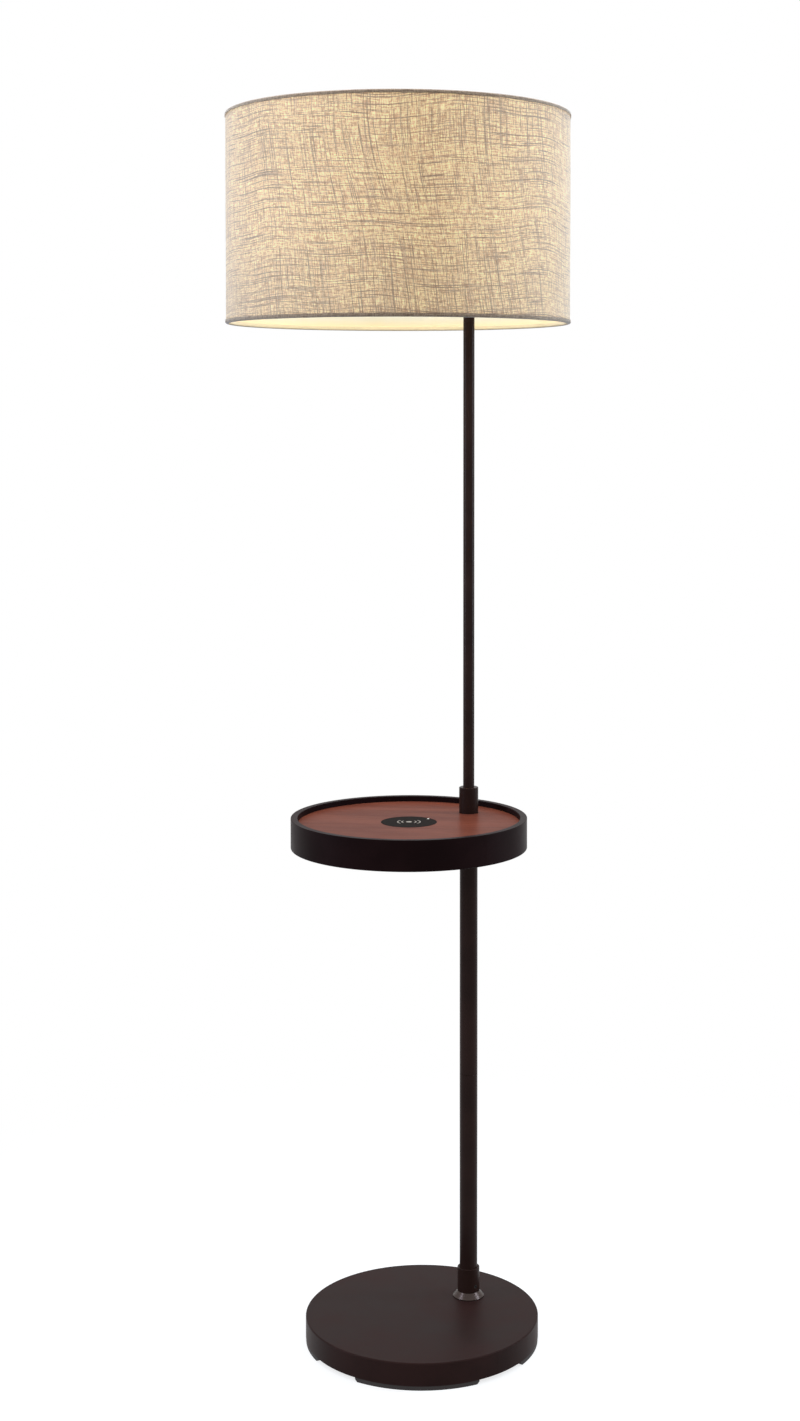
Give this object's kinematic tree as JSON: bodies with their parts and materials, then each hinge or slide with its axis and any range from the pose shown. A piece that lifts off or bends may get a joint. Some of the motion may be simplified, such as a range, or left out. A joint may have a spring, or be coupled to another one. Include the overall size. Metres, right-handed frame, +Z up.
{
  "type": "floor lamp with table",
  "caption": "Floor lamp with an offset pole, a drum shade and a round wood-topped tray table that holds a flush charging pad, on a weighted round base.",
  "frame": {"origin": "on the floor, under the axis of the drum shade", "axes": "+Z up along the pole, +Y from the shade's axis towards the pole, +X to the right seen from the front"},
  "size_m": [0.4059, 0.406, 1.467],
  "materials": {
    "bronze": "satin dark bronze",
    "painted_rim": "fibreboard ring under satin dark bronze paint",
    "satin_bronze": "satin, brighter than the pole",
    "cast_iron": "rough cast",
    "black_steel": "satin black",
    "zinc_steel": "zinc plated",
    "foot_rubber": "matte",
    "walnut": "semi-gloss walnut veneer",
    "pad_rubber": "matte",
    "black_plastic": "matte",
    "copper": "copper wire",
    "ferrite": "matte",
    "circuit_board": "green board",
    "light_pipe": "clear",
    "lead_jacket": "grey jacket",
    "brass": "plated",
    "white_wire": "white paint",
    "liner": "cream styrene sheet",
    "linen": "oatmeal linen",
    "trim": "rolled linen edge",
    "bulb_plastic": "matte white",
    "bulb_globe": "frosted, lit"
  },
  "bodies": {
    "lamp": {"base_cover": "bronze", "base_weight": "cast_iron", "base_plate": "black_steel", "base_plate_screws": "zinc_steel", "foot_pads": "foot_rubber", "cord_grommet": "foot_rubber", "base_nipple": "zinc_steel", "base_washer": "zinc_steel", "base_nut": "zinc_steel", "foot_flange": "satin_bronze", "foot_collar": "bronze", "collar_screw": "black_steel", "lower_pole_bottom": "bronze", "lower_pole_coupler": "zinc_steel", "lower_pole_top": "bronze", "pole_top_insert": "zinc_steel", "tray_rim": "painted_rim", "tray_top": "walnut", "tray_base": "black_steel", "tray_screws": "zinc_steel", "tray_spacer": "zinc_steel", "tray_nipple": "zinc_steel", "tray_collar": "bronze", "pad_cap": "pad_rubber", "pad_housing": "black_plastic", "pad_screws": "zinc_steel", "charge_coil": "copper", "coil_ferrite": "ferrite", "charger_board": "circuit_board", "pad_light": "light_pipe", "power_module": "black_plastic", "module_lead": "lead_jacket", "charger_lead": "lead_jacket", "upper_pole_bottom": "bronze", "upper_pole_coupler": "zinc_steel", "upper_pole_top": "bronze", "arm_coupler": "zinc_steel", "offset_arm": "bronze", "socket_nipple": "zinc_steel", "socket_cap": "brass", "socket_shell": "brass", "socket_insulator": "black_plastic", "socket_screw_shell": "brass", "centre_contact": "brass", "shade_clamp_ring": "brass", "shade_top_frame": "white_wire", "shade_bottom_ring": "white_wire", "shade_liner": "liner", "shade_linen": "linen", "shade_top_trim": "trim", "shade_bottom_trim": "trim", "bulb_base": "zinc_steel", "bulb_body": "bulb_plastic", "bulb_globe": "bulb_globe", "mains_lead": "lead_jacket"},
    "switch": {"switch_stem": "brass", "switch_knob": "black_plastic"}
  },
  "joints": [
    {"name": "switch_turn", "type": "hinge", "parent": "lamp", "child": "switch", "pos_m": [0, -0.03, 1.3328], "axis": [0, -1, 0], "continuous": true}
  ]
}
